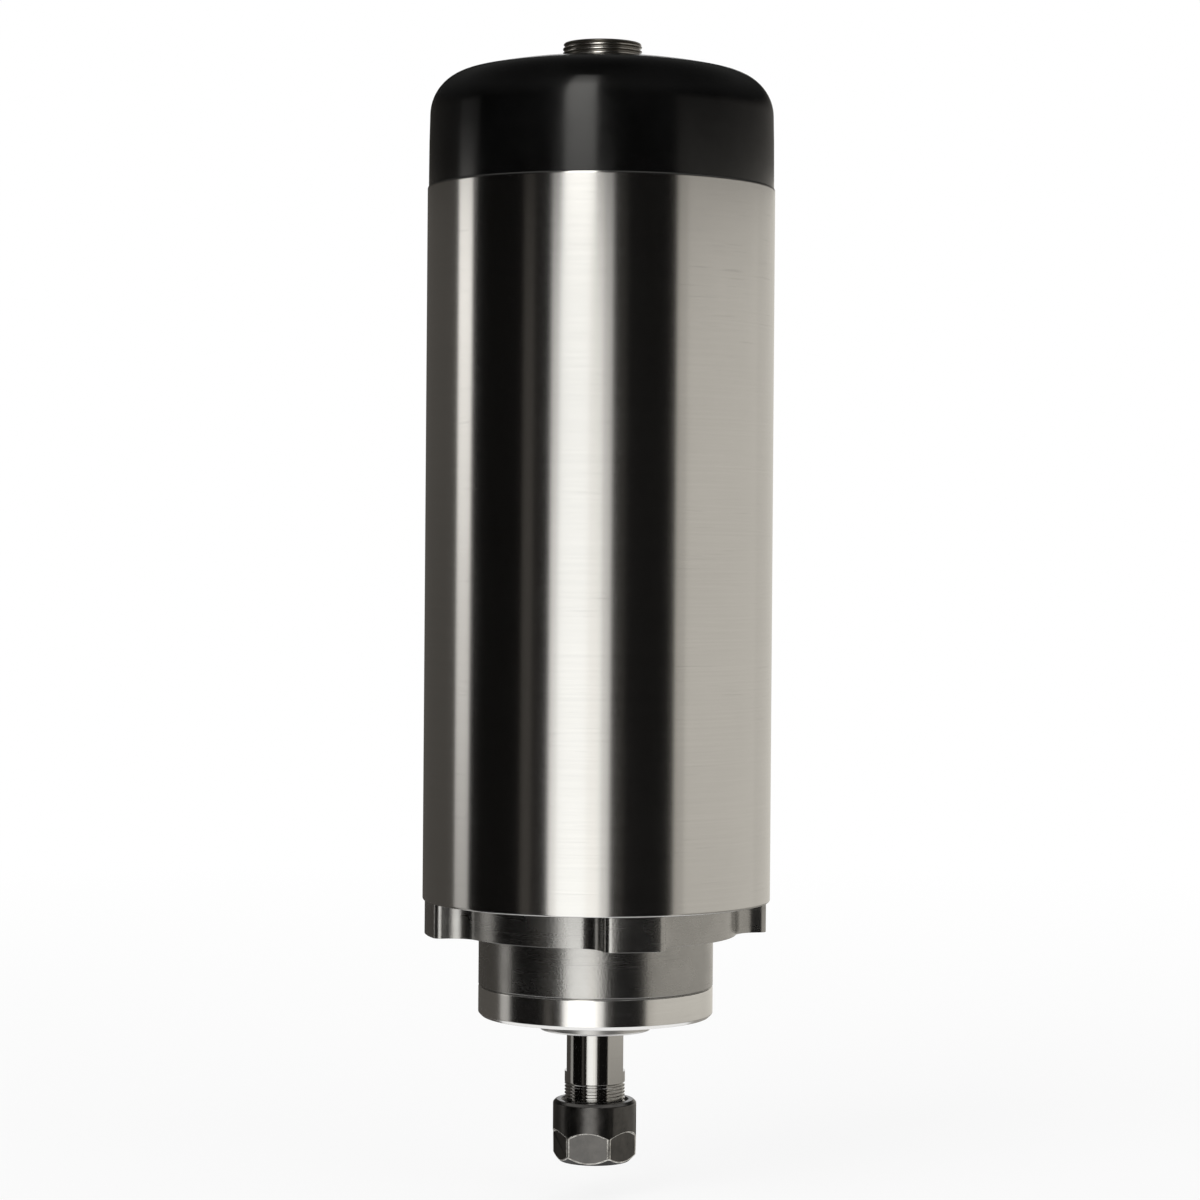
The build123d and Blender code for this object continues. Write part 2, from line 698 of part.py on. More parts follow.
def fan_cover():
    """Moulded cover: a wide crown arc, a small corner arc and a slightly drafted side."""
    base = body_radius - cover_step
    corner_across = base - cover_draft - cover_corner_radius
    reach = cover_crown_radius - cover_corner_radius
    crown_centre = z_crown - cover_crown_radius
    corner_height = crown_centre + math.sqrt(reach**2 - corner_across**2)
    inner_corner = cover_inner - corner_across
    inner_crown = reach + inner_corner
    join = math.degrees(math.acos(corner_across / reach))

    def crown(radius):
        """The crown's arc, from the axis out to where the corner takes over."""
        return CenterArc((0, crown_centre), radius, join, 90 - join)

    def corner(radius):
        """The corner's arc, from the crown down to the side."""
        return CenterArc((corner_across, corner_height), radius, 0, join)

    spigot = sleeve_bore - slide_gap
    z_spigot_low = sleeve_length - cover_spigot_depth
    side = Polyline(
        (corner_across + cover_corner_radius, corner_height),
        (base, sleeve_length),
        (spigot, sleeve_length),
        (spigot, z_spigot_low),
        (cover_inner, z_spigot_low),
        (cover_inner, corner_height),
    )
    axis_line = Line((0, crown_centre + inner_crown), (0, z_crown))
    outline = [crown(cover_crown_radius), corner(cover_corner_radius), side]
    outline += [corner(inner_corner), crown(inner_crown), axis_line]
    cover = revolve(Plane.XZ * make_face(Curve() + outline), Axis.Z)
    wall = cover_crown_radius - inner_crown
    cover += ring(cover_boss_radius, 0, z_boss_low, z_crown - wall / 2)
    cover -= ring(stub_radius + seat_gap, 0, z_boss_low, z_stub_high)
    vent_inner = cover_boss_radius + vent_width / 2
    vent = Pos(vent_inner + vent_length / 2, 0, z_boss_low) * SlotOverall(vent_length, vent_width)
    return cover - around(extrude(vent, z_stub_high - z_boss_low), vent_count, 180 / vent_count)


def connector_shell():
    """Shell of the panel connector: a thread at each end, drawn at its outer diameter, and a plain shank."""
    shank_radius = stub_radius - shank_step
    return turned(
        (stub_bore, z_shell_low),
        (stub_radius, z_shell_low),
        (stub_radius, z_crown - relief_length),
        (shank_radius, z_crown - relief_length),
        (shank_radius, z_crown),
        (stub_radius, z_crown),
        (stub_radius, z_stub_high - stub_chamfer),
        (stub_radius - stub_chamfer, z_stub_high),
        (stub_bore, z_stub_high),
    )


def connector_washer():
    """Spring washer under the lock nut."""
    return ring(connector_washer_radius, stub_radius + shank_gap, z_washer_low, z_boss_low)


def connector_locknut():
    """Thin nut that holds the connector in the cover from inside."""
    section = RegularPolygon(locknut_across / 2, 6, major_radius=False)
    section -= Circle(stub_radius + seat_gap)
    return extrude(Pos(0, 0, z_locknut_low) * section, locknut_height)


def connector_insert():
    """Insulating disc that carries the contact pins."""
    insert = ring(stub_bore - seat_gap, 0, z_insert_low, z_insert_high)
    hole = ring(pin_radius + seat_gap, 0, z_insert_low, z_insert_high)
    return insert - around(Pos(pin_circle, 0, 0) * hole, pin_count)


def connector_pins():
    """Contact pins that stand in the open socket."""
    pin = ring(pin_radius, 0, z_insert_low, z_insert_high + pin_height)
    return Compound(children=around(Pos(pin_circle, 0, 0) * pin, pin_count))


def connector_boot():
    """Rubber elbow over the back of the connector, with a socket for the lead."""
    boot = ring(boot_radius, 0, z_boot_low, z_insert_low)
    outlet = Pos(0, 0, z_lead) * Rot(0, 90, 0) * Cylinder(
        lead_radius + boot_wall, boot_reach, align=(Align.CENTER, Align.CENTER, Align.MIN)
    )
    socket = Pos(boot_reach - boot_socket_depth, 0, z_lead) * Rot(0, 90, 0) * Cylinder(
        lead_radius + seat_gap, boot_socket_depth, align=(Align.CENTER, Align.CENTER, Align.MIN)
    )
    return boot + outlet - socket


def lead_harness():
    """Sleeved bundle of wires: out to the wall, down past the fan and into the core."""
    z_inward = z_rear_plate_high + lead_rise
    route = [
        (boot_reach - boot_socket_depth, 0, z_lead),
        (lead_circle, 0, z_lead),
        (lead_circle, 0, z_inward + lead_slant),
        (grommet_circle, 0, z_inward),
        (grommet_circle, 0, z_stator_high + winding_head_length),
    ]
    points = [Vector(*point) for point in route]
    radii = []
    for before, corner, after in zip(points, points[1:], points[2:]):
        shorter = min((corner - before).length, (after - corner).length)
        turn = (corner - before).get_angle(after - corner)
        radii.append(0.45 * shorter / math.tan(math.radians(turn / 2)))
    path = FilletPolyline(*route, radius=radii)
    start = Plane(origin=route[0], z_dir=(1, 0, 0))
    return sweep(start * Circle(lead_radius), path=path)


def lead_grommet():
    """Rubber ring that lines the lead's hole, with a lip on each side of the plate."""
    neck = lead_radius + grommet_wall
    lip = neck + grommet_rim
    bore = lead_radius + seat_gap
    grommet = ring(neck, bore, z_core_high, z_rear_plate_high)
    grommet += ring(lip, bore, z_core_high - grommet_lip, z_core_high)
    grommet += ring(lip, bore, z_rear_plate_high, z_rear_plate_high + grommet_lip)
    return Pos(grommet_circle, 0, 0) * grommet


os.makedirs("parts", exist_ok=True)

# Housings and casings
save("outer_sleeve", outer_sleeve())
save("front_housing", front_housing())
save("front_bearing_cap", front_bearing_cap())
save("bearing_cap_screws", bearing_cap_screws())
save("core_housing", core_housing())
save("tie_rods", tie_rods())
save("rear_housing", rear_housing())
save("preload_spring", preload_spring())
save("rear_bearing_cover", rear_bearing_cover())
save("rear_cover_screws", rear_cover_screws())
save("fan_cover", fan_cover())

# Bearings
front = (front_bearing_bore, front_bearing_outer, front_bearing_width, front_ball_radius, front_ball_count)
rear = (rear_bearing_bore, rear_bearing_outer, rear_bearing_width, rear_ball_radius, rear_ball_count)
bearing("front_lower", *front, z_bearings_low)
bearing("front_upper", *front, z_bearings_mid)
bearing("rear", *rear, z_rear_bearing_low)

# Windings and rotor
save("stator_core", stator_core())
save("slot_coils", slot_coils())
save("winding_head_front", winding_head(z_stator_low - winding_head_length))
save("winding_head_rear", winding_head(z_stator_high))
save("rotor_core", rotor_core())
save("rotor_cage", rotor_cage())

# Shaft and what turns with it
save("shaft", shaft())
save("slinger_nut", slinger_nut())
save("fan", fan())
save("fan_key", key_block(0))
save("fan_washer", fan_washer())
save("fan_nut", fan_nut())
save("collet", collet())
save("collet_nut", collet_nut())

# Connector and lead
save("connector_shell", connector_shell())
save("connector_washer", connector_washer())
save("connector_locknut", connector_locknut())
save("connector_insert", connector_insert())
save("connector_pins", connector_pins())
save("connector_boot", connector_boot())
save("lead_harness", lead_harness())
save("lead_grommet", lead_grommet())
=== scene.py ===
import bpy
import math
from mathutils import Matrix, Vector


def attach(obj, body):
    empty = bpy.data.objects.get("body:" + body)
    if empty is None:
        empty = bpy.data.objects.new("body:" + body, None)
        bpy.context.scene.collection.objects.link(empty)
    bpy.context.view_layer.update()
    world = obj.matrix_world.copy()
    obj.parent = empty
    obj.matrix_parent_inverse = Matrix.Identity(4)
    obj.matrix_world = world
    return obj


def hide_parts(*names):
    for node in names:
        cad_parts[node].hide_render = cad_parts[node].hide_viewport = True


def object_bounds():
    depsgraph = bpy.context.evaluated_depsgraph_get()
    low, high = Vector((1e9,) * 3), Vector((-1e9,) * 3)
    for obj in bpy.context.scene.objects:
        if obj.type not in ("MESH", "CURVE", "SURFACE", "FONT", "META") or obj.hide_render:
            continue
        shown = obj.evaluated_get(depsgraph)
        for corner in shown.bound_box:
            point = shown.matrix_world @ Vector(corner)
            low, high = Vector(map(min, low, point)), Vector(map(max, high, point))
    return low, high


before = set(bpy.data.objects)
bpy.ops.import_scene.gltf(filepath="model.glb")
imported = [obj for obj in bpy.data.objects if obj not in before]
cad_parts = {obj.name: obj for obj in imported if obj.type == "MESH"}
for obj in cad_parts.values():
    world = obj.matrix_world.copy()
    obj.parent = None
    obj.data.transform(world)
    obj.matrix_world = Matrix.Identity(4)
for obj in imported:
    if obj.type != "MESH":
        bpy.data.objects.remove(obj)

cad_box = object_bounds()


# Camera, at the height of the middle of the round body, with a long lens as in the photograph.
# It stands level; the small shift frames the part, and the small roll is the photograph's own.

def round_axis(distance, way, height):
    """A place at some distance from the part's axis, in a direction in radians, at some height."""
    return (distance * math.cos(way), distance * math.sin(way), height)


camera_azimuth = math.radians(-58.1)
camera_distance, camera_height = 0.766, 0.08125
camera_roll = math.radians(-0.43)
camera_data = bpy.data.cameras.new("camera")
camera_data.sensor_width = 36.0
camera_data.lens = 99.69
camera_data.shift_x = 0.0010
camera_data.shift_y = -0.04475
camera = bpy.data.objects.new("camera", camera_data)
bpy.context.scene.collection.objects.link(camera)
camera.location = round_axis(camera_distance, camera_azimuth, camera_height)
camera.rotation_euler = (math.radians(90), camera_roll, camera_azimuth + math.radians(90))
bpy.context.scene.camera = camera
bpy.context.scene.view_settings.view_transform = "Standard"


# Studio: a white room, a pale paper floor just below the nut at its lowest, and three soft lamps.
# The room is white to the camera and in reflections, and the floor keeps the part's shadow.
# Seen from below, the floor is clear.

def from_hex(code):
    """A screen colour such as C8C6C0, as the opaque linear colour that a shader wants."""
    shares = [int(code[at:at + 2], 16) / 255 for at in (0, 2, 4)]
    linear = [s / 12.92 if s <= 0.04045 else ((s + 0.055) / 1.055) ** 2.4 for s in shares]
    return (*linear, 1.0)


def add_node(tree, kind, inputs=None, **settings):
    """Add one node with its settings; an input given as a socket is linked, anything else is its value."""
    new = tree.nodes.new("ShaderNode" + kind)
    for name, value in settings.items():
        setattr(new, name, value)
    for name, value in (inputs or {}).items():
        if isinstance(value, bpy.types.NodeSocket):
            tree.links.new(value, new.inputs[name])
        else:
            new.inputs[name].default_value = value
    return new


def empty_material(name):
    """A material with nothing in it, not even its output."""
    material = bpy.data.materials.new(name)
    material.use_nodes = True
    material.node_tree.nodes.clear()
    return material, material.node_tree


def shown_share(tree):
    """One for camera, glossy and transmission rays, and nought for the rays that light the object."""
    rays = add_node(tree, "LightPath")
    either = add_node(tree, "Math", {0: rays.outputs["Is Camera Ray"], 1: rays.outputs["Is Glossy Ray"]},
                      operation="MAXIMUM")
    every = add_node(tree, "Math", {0: either.outputs[0], 1: rays.outputs["Is Transmission Ray"]},
                     operation="MAXIMUM")
    return every.outputs[0]


def deselect():
    """Leave nothing selected, so that an operator acts on the new piece alone."""
    bpy.ops.object.select_all(action="DESELECT")


room_light = 0.55
world = bpy.data.worlds.new("studio")
bpy.context.scene.world = world
world.use_nodes = True
sky = world.node_tree
sky.nodes.clear()
level = add_node(sky, "MapRange", {"Value": shown_share(sky), "To Min": room_light, "To Max": 1.0})
backdrop = add_node(sky, "Background", {"Color": (1, 1, 1, 1), "Strength": level.outputs[0]})
add_node(sky, "OutputWorld", {"Surface": backdrop.outputs[0]})

mm = 0.001
nut_travel, floor_gap = 7.5 * mm, 0.3 * mm
deselect()
bpy.ops.mesh.primitive_plane_add(size=6.0, location=(0, 0, cad_box[0][2] - nut_travel - floor_gap))
floor = bpy.context.object
floor.name = "floor"
bpy.ops.object.transform_apply(location=True)
# White paper: matt, with the part's soft shadow at the foot, and pure white to the camera further out.
paper, tree = empty_material("white_paper_floor")
foot_radius, white_radius, white_at_foot = 0.15, 0.8, 0.80
matt = add_node(tree, "BsdfDiffuse", {"Color": from_hex("F2F2F2")})
glow = add_node(tree, "Emission", {"Color": (1, 1, 1, 1), "Strength": 1.0})
spot = add_node(tree, "TexCoord")
far = add_node(tree, "VectorMath", {0: spot.outputs["Object"]}, operation="LENGTH")
fade = add_node(tree, "MapRange", {
    "Value": far.outputs["Value"], "From Min": foot_radius, "From Max": white_radius,
    "To Min": white_at_foot, "To Max": 1.0})
share = add_node(tree, "Math", {0: shown_share(tree), 1: fade.outputs[0]}, operation="MULTIPLY")
mixed = add_node(tree, "MixShader", {0: share.outputs[0], 1: matt.outputs[0], 2: glow.outputs[0]})
side = add_node(tree, "NewGeometry")
clear = add_node(tree, "BsdfTransparent")
seen = add_node(tree, "MixShader", {
    0: side.outputs["Backfacing"], 1: mixed.outputs[0], 2: clear.outputs[0]})
add_node(tree, "OutputMaterial", {"Surface": seen.outputs[0]})
floor.data.materials.append(paper)
floor.visible_glossy = False

lamp_aim = Vector((0, 0, 0.07))
# each lamp: degrees round from the camera, height, distance and size in metres, power in watts
for name, turn, height, reach, size, power in (
    ("key_lamp", -38, 0.95, 1.35, 0.9, 9.0),
    ("fill_lamp", 48, 0.60, 1.50, 1.1, 5.0),
    ("back_lamp", 165, 1.10, 1.20, 0.9, 6.0),
):
    lamp_data = bpy.data.lights.new(name, "AREA")
    lamp_data.size = size
    lamp_data.energy = power
    lamp = bpy.data.objects.new(name, lamp_data)
    bpy.context.scene.collection.objects.link(lamp)
    lamp.location = round_axis(reach, camera_azimuth + math.radians(turn), height)
    lamp.rotation_euler = (lamp_aim - lamp.location).to_track_quat("-Z", "Y").to_euler()
    lamp.visible_glossy = False


# Screens: tall cards in a ring round the table, as a metal object is photographed.
# Dark and light ones by turns give the bright metal its upright bands; only reflections see them.

def start_point(name, place):
    """Begin a mesh as one point, in metres, left in edit mode so that it can be pulled on from there."""
    deselect()
    bpy.ops.mesh.primitive_plane_add(size=0.001, location=place)
    bpy.ops.object.transform_apply(location=True)
    piece = bpy.context.object
    piece.name = piece.data.name = name
    bpy.ops.object.mode_set(mode="EDIT")
    bpy.ops.mesh.merge(type="CENTER")
    return piece


def pull(move):
    """Pull what is selected on by a move in metres, and leave the new end selected."""
    bpy.ops.mesh.extrude_region_move(TRANSFORM_OT_translate={"value": move})


def sweep(steps, angle):
    """Spin what is selected round the axis; with no window, a positive angle runs clockwise from above."""
    bpy.ops.mesh.spin(steps=steps, angle=angle, center=(0, 0, 0), axis=(0, 0, 1))


def weld(reach=1e-6):
    """Select the whole mesh in edit mode and join the points that lie within reach of each other."""
    bpy.ops.mesh.select_all(action="SELECT")
    bpy.ops.mesh.remove_doubles(threshold=reach)


def upright_line(name, radius, way, low, high):
    """A vertical edge of two points at some distance from the axis, left selected in edit mode."""
    line = start_point(name, round_axis(radius, way, low))
    pull((0, 0, high - low))
    bpy.ops.mesh.select_all(action="SELECT")
    return line


def stand_screen(screen, material_name, code, below, above, top=(0.45, 0.62, 1.0)):
    """Close a screen's seams and light it. Its strength runs between two heights, each given with its
    strength, and from one height of top to the other it fades to a share of that."""
    weld()
    bpy.ops.object.mode_set(mode="OBJECT")
    card, tree = empty_material(material_name)
    place = add_node(tree, "TexCoord")
    height = add_node(tree, "SeparateXYZ", {0: place.outputs["Object"]})
    strength = add_node(tree, "MapRange", {
        "Value": height.outputs["Z"], "From Min": below[0], "To Min": below[1],
        "From Max": above[0], "To Max": above[1]})
    rest = add_node(tree, "MapRange", {
        "Value": height.outputs["Z"], "From Min": top[0], "From Max": top[1],
        "To Min": 1.0, "To Max": top[2]})
    both = add_node(tree, "Math", {0: strength.outputs[0], 1: rest.outputs[0]}, operation="MULTIPLY")
    lit = add_node(tree, "Emission", {"Color": from_hex(code), "Strength": both.outputs[0]})
    add_node(tree, "OutputMaterial", {"Surface": lit.outputs[0]})
    screen.data.materials.append(card)
    screen.visible_camera = False
    screen.visible_diffuse = False
    screen.visible_shadow = False
    screen.visible_transmission = False


ring_radius, ring_low, ring_middle, ring_high = 1.5, -1.1, 0.331, 0.62
degrees_a_step = 4
# each screen: start and end in degrees round from the camera, colour, and its levels;
# the body sees those below the ring's middle, and the cover those above it
body_screens = (
    ("dark_screen_left", -176, -106, "524F4B", (-0.2, 1.0), (0.33, 1.1)),
    ("light_screen_left", -106, -92, "FFFCF7", (-0.2, 0.42), (0.33, 1.72)),
    ("black_screen_left", -92, -50.5, "100F0E", (-0.2, 1.0), (0.33, 1.0)),
    ("grey_strip_left", -50.5, -43, "4B4844", (-0.2, 1.0), (0.33, 1.0)),
    ("dark_strip_left", -43, -31.5, "211F1D", (-0.2, 1.3), (0.33, 0.8)),
    ("pale_strip_front", -31.5, -26, "F6F4F0", (-0.2, 1.45), (0.33, 0.75)),
    ("white_screen_front", -26, -7, "FFFFFC", (-0.2, 1.66), (0.33, 1.36)),
    ("white_strip_front", -7, 2, "FFFDF8", (-0.2, 1.55), (0.33, 1.15)),
    ("dim_strip_front", 2, 8, "F0EEEA", (-0.2, 1.12), (0.33, 0.85)),
    ("dark_strip_front", 8, 17, "34322F", (-0.2, 1.0), (0.33, 1.0)),
    ("black_screen_front", 17, 46, "171615", (-0.2, 1.0), (0.33, 1.0)),
    ("dark_strip_right", 46, 50.3, "34322F", (-0.2, 1.0), (0.33, 1.0)),
    ("dim_strip_right", 50.3, 58, "BFBBB3", (-0.2, 1.05), (0.33, 1.15)),
    ("grey_screen_right", 58, 125, "C9C5BD", (-0.29, 0.64), (-0.235, 1.25)),
    ("grey_screen_far_right", 125, 172, "C7C3BB", (-0.29, 0.6), (-0.235, 1.2)),
)
cover_screens = (
    ("upper_dark_left", -176, -107, "3A3835", (0.331, 1.0), (0.6, 1.0), (0.4, 0.62, 0.5)),
    ("upper_light_left", -107, -88, "F4F1EC", (0.331, 1.1), (0.352, 0.16), (0.4, 0.62, 0.15)),
    ("upper_black_left", -88, -24, "090908", (0.331, 1.0), (0.6, 1.0)),
    ("upper_black_front", -3.5, 50, "0B0B0A", (0.331, 1.0), (0.6, 1.0)),
    ("upper_grey_right", 50, 172, "6E6B67", (0.331, 1.0), (0.6, 1.0), (0.4, 0.62, 0.13)),
)
for low, high, screens in ((ring_low, ring_middle, body_screens), (ring_middle, ring_high, cover_screens)):
    for name, start, end, code, *levels in screens:
        screen = upright_line(name, ring_radius, camera_azimuth + math.radians(start), low, high)
        sweep(max(3, round((end - start) / degrees_a_step)), -math.radians(end - start))
        stand_screen(screen, name, code, *levels)


# Softbox and canopy: a tall light at the front that leans in over the cover, in a dark cloth roof.
# The light draws the narrow highlight down the cover, and the cloth keeps the crown black.

def pull_top(line, move):
    """Pull the highest point of a line on by a move, and leave the whole line selected."""
    bpy.ops.mesh.select_all(action="DESELECT")
    bpy.ops.object.mode_set(mode="OBJECT")
    max(line.data.vertices, key=lambda vertex: vertex.co.z).select = True
    bpy.ops.object.mode_set(mode="EDIT")
    pull(move)
    bpy.ops.mesh.select_all(action="SELECT")


softbox_way, softbox_width = camera_azimuth + math.radians(-24), math.radians(20.5)
softbox_radius, softbox_bend, lean_in, lean_up = 1.48, 1.25, 0.68, 0.22
softbox = upright_line("tall_softbox", softbox_radius, softbox_way, ring_middle, softbox_bend)
pull_top(softbox, round_axis(-lean_in, softbox_way, lean_up))
sweep(6, -softbox_width)
# White diffuser cloth: an even glow that starts just above the ring's middle and dims where it leans in.
stand_screen(softbox, "softbox_light", "FFFDF8", (0.331, 0.1), (0.39, 2.85), top=(1.2, 1.46, 0.35))

canopy_eaves, canopy_rise = 1.3, 0.5
canopy = upright_line("black_canopy", ring_radius, 0.0, ring_high, canopy_eaves)
pull_top(canopy, (-ring_radius, 0, canopy_rise))
sweep(48, math.tau)
# Dark cloth: charcoal, lightest under the eaves, nearly black over the part.
stand_screen(canopy, "black_cloth_canopy", "3C3C3B", (0.62, 0.45), (1.2, 1.6), top=(1.3, 1.8, 0.3))


# Outer sleeve: drawn steel tube of 80 mm that the machine's clamp holds, faced at both ends.
# Its whole side is brushed round the tube, so reflections stay sharp across and smear up and down.

def draw_outline(name, points):
    """Draw a closed outline corner by corner through points in millimetres, left selected in edit mode."""
    at = points[0]
    piece = start_point(name, [value * mm for value in at])
    for point in (*points[1:], points[0]):
        pull([(new - old) * mm for new, old in zip(point, at)])
        at = point
    weld()
    return piece


def face_outwards():
    """Turn all faces of the mesh in edit mode outwards, and leave edit mode."""
    bpy.ops.mesh.select_all(action="SELECT")
    bpy.ops.mesh.normals_make_consistent(inside=False)
    bpy.ops.object.mode_set(mode="OBJECT")


def lathe(name, outline, steps=160):
    """Draw a closed half section, in millimetres of radius and height, and spin it round the axis."""
    piece = draw_outline(name, [(radius, 0, height) for radius, height in outline])
    sweep(steps, math.tau)
    weld()
    face_outwards()
    return piece


def pick(piece):
    """Select one piece alone and make it active."""
    deselect()
    piece.select_set(True)
    bpy.context.view_layer.objects.active = piece


def ease(piece, width, segments=2, angle=32, edge_material=-1, clamp=True):
    """Break the sharp edges by a width in millimetres and shade the rest smooth."""
    pick(piece)
    bpy.ops.object.shade_smooth_by_angle(angle=math.radians(angle))
    bevel = piece.modifiers.new("edges", "BEVEL")
    bevel.width = width * mm
    bevel.segments = segments
    bevel.limit_method = "ANGLE"
    bevel.angle_limit = math.radians(angle)
    bevel.harden_normals = True
    bevel.use_clamp_overlap = clamp
    bevel.material = edge_material
    bpy.ops.object.modifier_apply(modifier="edges")


def finish_piece(piece, body, slot, nodes, *materials):
    """Give a piece its materials and its body, and hide the nodes that it stands for; the slot is not used.
    """
    for material in materials:
        piece.data.materials.append(material)
    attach(piece, body)
    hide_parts(*nodes)


def turned_metal(name, code, roughness, direction, groove, marks, waves=0.0, specks=0.0):
    """Metal worked round the axis: grooves of a pitch in millimetres, a few marks, waves and specks."""
    material, tree = empty_material(name)
    place = add_node(tree, "TexCoord").outputs["Object"]
    # tool or brush lines, each some 40 mm long; real ones are finer, and these are as coarse as shows
    fine = add_node(tree, "Mapping", {0: place, "Scale": (25, 25, 1 / (groove * mm))})
    lines = add_node(tree, "TexNoise", {
        "Vector": fine.outputs[0], "Scale": 1.0, "Detail": 3.0, "Roughness": 0.6})
    # nicks of handling, some 14 mm long and half a millimetre high, only at the noise's rare peaks
    wide = add_node(tree, "Mapping", {0: place, "Scale": (70, 70, 2200)})
    nicks = add_node(tree, "TexNoise", {"Vector": wide.outputs[0], "Scale": 1.0, "Detail": 2.0})
    nick = add_node(tree, "MapRange", {"Value": nicks.outputs[0], "From Min": 0.66, "From Max": 0.74})
    # clouds some 33 mm wide
    broad = add_node(tree, "TexNoise", {"Vector": place, "Scale": 30.0, "Detail": 4.0, "Roughness": 0.65})
    cloud = add_node(tree, "MapRange", {
        "Value": broad.outputs[0], "From Min": 0.3, "From Max": 0.7, "To Min": -waves, "To Max": waves})
    # the colour, a little lighter and darker by all three
    tone = add_node(tree, "MapRange", {
        "Value": lines.outputs[0], "From Min": 0.25, "From Max": 0.75, "To Min": 0.97, "To Max": 1.03})
    shade = add_node(tree, "Math", {0: tone.outputs[0], 1: cloud.outputs[0]}, operation="SUBTRACT")
    marked = add_node(tree, "Math", {0: nick.outputs[0], 1: -marks, 2: shade.outputs[0]},
                      operation="MULTIPLY_ADD")
    colour = add_node(tree, "VectorMath", {0: from_hex(code)[:3], "Scale": marked.outputs[0]},
                      operation="SCALE")
    # the roughness, raised in the lines, the clouds and the nicks
    rough = add_node(tree, "Math", {0: lines.outputs[0], 1: 0.04, 2: roughness - 0.02},
                     operation="MULTIPLY_ADD")
    rougher = add_node(tree, "Math", {0: cloud.outputs[0], 1: 0.6, 2: rough.outputs[0]},
                       operation="MULTIPLY_ADD")
    nicked = add_node(tree, "Math", {0: nick.outputs[0], 1: 0.6 * marks, 2: rougher.outputs[0]},
                      operation="MULTIPLY_ADD")
    relief = add_node(tree, "Bump", {"Height": lines.outputs[0], "Strength": 0.02, "Distance": 0.01 * mm})
    if specks:
        # the grain of a cast alloy, half a millimetre across
        pores = add_node(tree, "TexNoise", {
            "Vector": place, "Scale": 1900.0, "Detail": 2.0, "Roughness": 0.6})
        relief = add_node(tree, "Bump", {
            "Height": pores.outputs[0], "Strength": specks, "Distance": 0.02 * mm,
            "Normal": relief.outputs[0]})
    around = add_node(tree, "Tangent", direction_type="RADIAL", axis="Z")
    metal = add_node(tree, "BsdfPrincipled", {
        "Base Color": colour.outputs[0], "Metallic": 1.0, "Roughness": nicked.outputs[0],
        "Anisotropic": direction, "Anisotropic Rotation": 0.25, "Tangent": around.outputs[0],
        "Normal": relief.outputs[0]})
    add_node(tree, "OutputMaterial", {"Surface": metal.outputs[0]})
    return material


body_radius, body_bore, body_top = 40.0, 38.5, 163.5
sleeve = lathe("outer_sleeve_tube", [
    (body_bore, 0.0), (39.65, 0.0), (39.9, 0.1), (body_radius, 0.35), (body_radius, 0.6), (body_radius, 82.0),
    (body_radius, 162.9), (body_radius, 163.15), (39.9, 163.4), (39.65, body_top), (body_bore, body_top)],
    steps=192)
ease(sleeve, 0.05, segments=1, angle=35)
# Brushed stainless steel: clear warm grey, sharp reflections across the brushing, faint rings and nicks.
brushed_tube = turned_metal("brushed_stainless_steel", "CCCBC9", roughness=0.16, direction=0.5, groove=0.45,
                            marks=0.05, waves=0.015)
finish_piece(sleeve, "motor_body", "brushed_tube", ["outer_sleeve"], brushed_tube)


# Front housing: the lobed flange and the bearing nose, turned and milled from one casting.
# Four lobes carry the tie screws, and the cooling air leaves through the pockets between them.

def arc(centre, radius, start, end, count):
    """Points of an arc from one angle to another, in degrees, both ends included."""
    angles = [math.radians(start + (end - start) * step / count) for step in range(count + 1)]
    return [(centre[0] + radius * math.cos(a), centre[1] + radius * math.sin(a)) for a in angles]


def turned(outline, degrees):
    """An outline, turned round the axis by some degrees."""
    along, aside = math.cos(math.radians(degrees)), math.sin(math.radians(degrees))
    return [(x * along - y * aside, x * aside + y * along) for x, y in outline]


def prism(name, outline, low, high):
    """Draw a closed outline on one level, in millimetres, fill it and pull it up to another."""
    piece = draw_outline(name, [(x, y, low) for x, y in outline])
    bpy.ops.mesh.edge_face_add()
    pull((0, 0, (high - low) * mm))
    face_outwards()
    return piece


def drill(x, y, radius, low, high, sides=32):
    """A round cutter between two heights, in millimetres."""
    return prism("cutter", arc((x, y), radius, 0, 360, sides)[:-1], low, high)


def cut(piece, tools, operation="DIFFERENCE"):
    """Take the tools' shapes out of a piece, as a mill or a drill does, and clear the tools away."""
    for tool in tools:
        modifier = piece.modifiers.new("cut", "BOOLEAN")
        modifier.object = tool
        modifier.operation = operation
        modifier.solver = "EXACT"
        pick(piece)
        bpy.ops.object.modifier_apply(modifier="cut")
        bpy.data.objects.remove(tool)


def screw_seats(piece, circle, first, head, shank):
    """Four stepped screw holes on a circle; the head's and the shank's are each a radius and two heights."""
    for quarter in range(4):
        x, y, _ = round_axis(circle, math.radians(first + 90 * quarter), 0)
        cut(piece, [drill(x, y, *head), drill(x, y, *shank)])


def lobed_outline(outer, fillet, corner, pocket=32.3, half=7.0):
    """Four lobes of a half width with round corners, and between them pockets whose floor is an arc."""
    corner_out = math.sqrt((outer - corner) ** 2 - (half - corner) ** 2)
    fillet_out = math.sqrt((pocket + fillet) ** 2 - (half + fillet) ** 2)
    crest = math.degrees(math.atan2(half - corner, corner_out))
    toe = math.degrees(math.atan2(half + fillet, fillet_out))
    flank = arc((0, 0), outer, 0, crest, 3)[1:-1]
    flank += arc((corner_out, half - corner), corner, crest, 90, 6)
    flank += arc((fillet_out, half + fillet), fillet, -90, toe - 180, 9)
    flank += arc((0, 0), pocket, toe, 45, 10)[1:]
    other = [(x, -y) for x, y in reversed(flank[:-1])]
    points = []
    for quarter in range(4):
        points += turned(other + [(outer, 0)] + flank, 45 + 90 * quarter)
    return points


